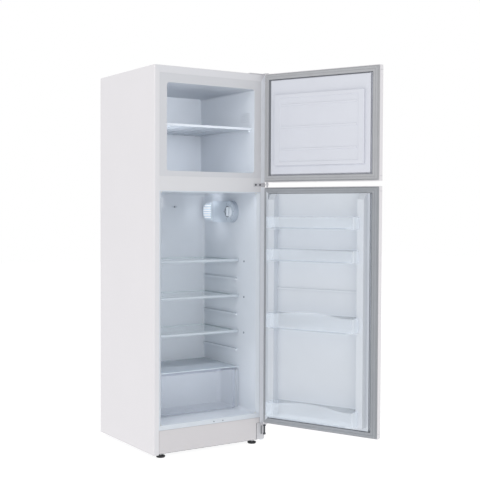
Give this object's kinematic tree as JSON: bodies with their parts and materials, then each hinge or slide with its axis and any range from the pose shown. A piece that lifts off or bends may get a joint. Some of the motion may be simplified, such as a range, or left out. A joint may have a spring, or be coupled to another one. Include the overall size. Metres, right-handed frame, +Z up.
{
  "type": "top freezer refrigerator",
  "caption": "Refrigerator with its freezer on top and both doors open, with glass shelves, crisper drawer, door bins, wall thermostat with lamp, and a rear compressor bay.",
  "frame": {"origin": "on the floor, under the middle of the cabinet's footprint without its doors", "axes": "+Z up, -Y out of the front, +X to the right of someone facing the front"},
  "size_m": [0.7817, 1.0491, 1.6266],
  "materials": {
    "outer_wrapper": "gloss",
    "back_panel": "satin",
    "base_pan": "satin",
    "step_panel": "satin",
    "cabinet_foam": "matte",
    "freezer_liner": "satin",
    "fridge_liner": "satin",
    "mullion_bar": "gloss",
    "kick_plate": "satin",
    "top_hinge": "satin",
    "middle_hinge": "satin",
    "middle_hinge_screw_inner": "satin",
    "middle_hinge_screw_outer": "satin",
    "bottom_hinge": "satin",
    "front_foot_left": "satin",
    "front_foot_right": "satin",
    "rear_roller_left": "satin",
    "rear_roller_right": "satin",
    "evaporator": "satin",
    "condenser_coil": "satin",
    "compressor": "gloss",
    "compressor_mount_1": "matte",
    "compressor_mount_2": "matte",
    "compressor_mount_3": "matte",
    "compressor_mount_4": "matte",
    "relay_cover": "satin",
    "suction_pipe": "satin",
    "discharge_pipe": "satin",
    "filter_drier": "satin",
    "drip_tray": "matte",
    "cord_gland": "matte",
    "freezer_shelf": "satin",
    "shelf_glass_lower": "gloss",
    "shelf_trim_lower": "satin",
    "shelf_glass_middle": "gloss",
    "shelf_trim_middle": "satin",
    "shelf_glass_upper": "gloss",
    "shelf_trim_upper": "satin",
    "crisper_cover": "gloss",
    "crisper_drawer": "gloss",
    "control_housing": "satin",
    "control_knob": "satin",
    "lamp_cover": "gloss",
    "lamp_bulb": "gloss",
    "switch_housing": "satin",
    "switch_plunger": "satin",
    "sensor_clip": "satin",
    "freezer_door_skin": "gloss",
    "freezer_door_foam": "matte",
    "freezer_door_liner": "satin",
    "freezer_door_gasket": "matte",
    "fridge_door_skin": "gloss",
    "fridge_door_foam": "matte",
    "fridge_door_liner": "satin",
    "fridge_door_gasket": "matte",
    "door_bin_1": "gloss",
    "door_bin_2": "gloss",
    "door_bin_3": "gloss",
    "door_bin_4": "gloss"
  },
  "bodies": {
    "cabinet": {"outer_wrapper": "outer_wrapper", "back_panel": "back_panel", "base_pan": "base_pan", "step_panel": "step_panel", "cabinet_foam": "cabinet_foam", "freezer_liner": "freezer_liner", "fridge_liner": "fridge_liner", "mullion_bar": "mullion_bar", "kick_plate": "kick_plate", "top_hinge": "top_hinge", "middle_hinge": "middle_hinge", "middle_hinge_screw_inner": "middle_hinge_screw_inner", "middle_hinge_screw_outer": "middle_hinge_screw_outer", "bottom_hinge": "bottom_hinge", "evaporator": "evaporator", "condenser_coil": "condenser_coil", "compressor": "compressor", "compressor_mount_1": "compressor_mount_1", "compressor_mount_2": "compressor_mount_2", "compressor_mount_3": "compressor_mount_3", "compressor_mount_4": "compressor_mount_4", "relay_cover": "relay_cover", "suction_pipe": "suction_pipe", "discharge_pipe": "discharge_pipe", "filter_drier": "filter_drier", "drip_tray": "drip_tray", "cord_gland": "cord_gland", "control_housing": "control_housing", "lamp_cover": "lamp_cover", "lamp_bulb": "lamp_bulb", "switch_housing": "switch_housing", "sensor_clip": "sensor_clip"},
    "freezer_door": {"freezer_door_skin": "freezer_door_skin", "freezer_door_foam": "freezer_door_foam", "freezer_door_liner": "freezer_door_liner", "freezer_door_gasket": "freezer_door_gasket"},
    "fridge_door": {"fridge_door_skin": "fridge_door_skin", "fridge_door_foam": "fridge_door_foam", "fridge_door_liner": "fridge_door_liner", "fridge_door_gasket": "fridge_door_gasket"},
    "door_bin_1": {"door_bin_1": "door_bin_1"},
    "door_bin_2": {"door_bin_2": "door_bin_2"},
    "door_bin_3": {"door_bin_3": "door_bin_3"},
    "door_bin_4": {"door_bin_4": "door_bin_4"},
    "freezer_shelf": {"freezer_shelf": "freezer_shelf"},
    "shelf_lower": {"shelf_glass_lower": "shelf_glass_lower", "shelf_trim_lower": "shelf_trim_lower"},
    "shelf_middle": {"shelf_glass_middle": "shelf_glass_middle", "shelf_trim_middle": "shelf_trim_middle"},
    "shelf_upper": {"shelf_glass_upper": "shelf_glass_upper", "shelf_trim_upper": "shelf_trim_upper"},
    "crisper_cover": {"crisper_cover": "crisper_cover"},
    "crisper_drawer": {"crisper_drawer": "crisper_drawer"},
    "control_knob": {"control_knob": "control_knob"},
    "switch_plunger": {"switch_plunger": "switch_plunger"},
    "front_foot_left": {"front_foot_left": "front_foot_left"},
    "front_foot_right": {"front_foot_right": "front_foot_right"},
    "rear_roller_left": {"rear_roller_left": "rear_roller_left"},
    "rear_roller_right": {"rear_roller_right": "rear_roller_right"}
  },
  "joints": [
    {"name": "freezer_door_hinge", "type": "hinge", "parent": "cabinet", "child": "freezer_door", "pos_m": [0.268, -0.284, 1.3855], "axis": [0, 0, 1], "range_deg": [-113.4, 16.6]},
    {"name": "fridge_door_hinge", "type": "hinge", "parent": "cabinet", "child": "fridge_door", "pos_m": [0.268, -0.284, 0.61275], "axis": [0, 0, 1], "range_deg": [-113.4, 16.6]},
    {"name": "door_bin_1_lift", "type": "slide", "parent": "fridge_door", "child": "door_bin_1", "axis": [0, 0, 1], "range_m": [0, 0.025]},
    {"name": "door_bin_2_lift", "type": "slide", "parent": "fridge_door", "child": "door_bin_2", "axis": [0, 0, 1], "range_m": [0, 0.025]},
    {"name": "door_bin_3_lift", "type": "slide", "parent": "fridge_door", "child": "door_bin_3", "axis": [0, 0, 1], "range_m": [0, 0.025]},
    {"name": "door_bin_4_lift", "type": "slide", "parent": "fridge_door", "child": "door_bin_4", "axis": [0, 0, 1], "range_m": [0, 0.025]},
    {"name": "freezer_shelf_slide", "type": "slide", "parent": "cabinet", "child": "freezer_shelf", "axis": [0, -1, 0], "range_m": [0, 0.2]},
    {"name": "shelf_lower_slide", "type": "slide", "parent": "cabinet", "child": "shelf_lower", "axis": [0, -1, 0], "range_m": [0, 0.18]},
    {"name": "shelf_middle_slide", "type": "slide", "parent": "cabinet", "child": "shelf_middle", "axis": [0, -1, 0], "range_m": [0, 0.18]},
    {"name": "shelf_upper_slide", "type": "slide", "parent": "cabinet", "child": "shelf_upper", "axis": [0, -1, 0], "range_m": [0, 0.18]},
    {"name": "crisper_cover_slide", "type": "slide", "parent": "cabinet", "child": "crisper_cover", "axis": [0, -1, 0], "range_m": [0, 0.12]},
    {"name": "crisper_drawer_slide", "type": "slide", "parent": "cabinet", "child": "crisper_drawer", "axis": [0, -1, 0], "range_m": [0, 0.12]},
    {"name": "control_knob_turn", "type": "hinge", "parent": "cabinet", "child": "control_knob", "pos_m": [0.214, -0.056, 1.023], "axis": [1, 0, 0], "range_deg": [-150, 150]},
    {"name": "switch_plunger_press", "type": "slide", "parent": "cabinet", "child": "switch_plunger", "axis": [0, -1, 0], "range_m": [-0.006, 0], "stiffness_N_per_m": 150},
    {"name": "front_foot_left_turn", "type": "hinge", "parent": "cabinet", "child": "front_foot_left", "pos_m": [-0.228, -0.231, 0.02], "axis": [0, 0, 1], "continuous": true},
    {"name": "front_foot_right_turn", "type": "hinge", "parent": "cabinet", "child": "front_foot_right", "pos_m": [0.228, -0.231, 0.02], "axis": [0, 0, 1], "continuous": true},
    {"name": "rear_roller_left_turn", "type": "hinge", "parent": "cabinet", "child": "rear_roller_left", "pos_m": [-0.235, 0.221, 0.015], "axis": [1, 0, 0], "continuous": true},
    {"name": "rear_roller_right_turn", "type": "hinge", "parent": "cabinet", "child": "rear_roller_right", "pos_m": [0.235, 0.221, 0.015], "axis": [1, 0, 0], "continuous": true}
  ]
}
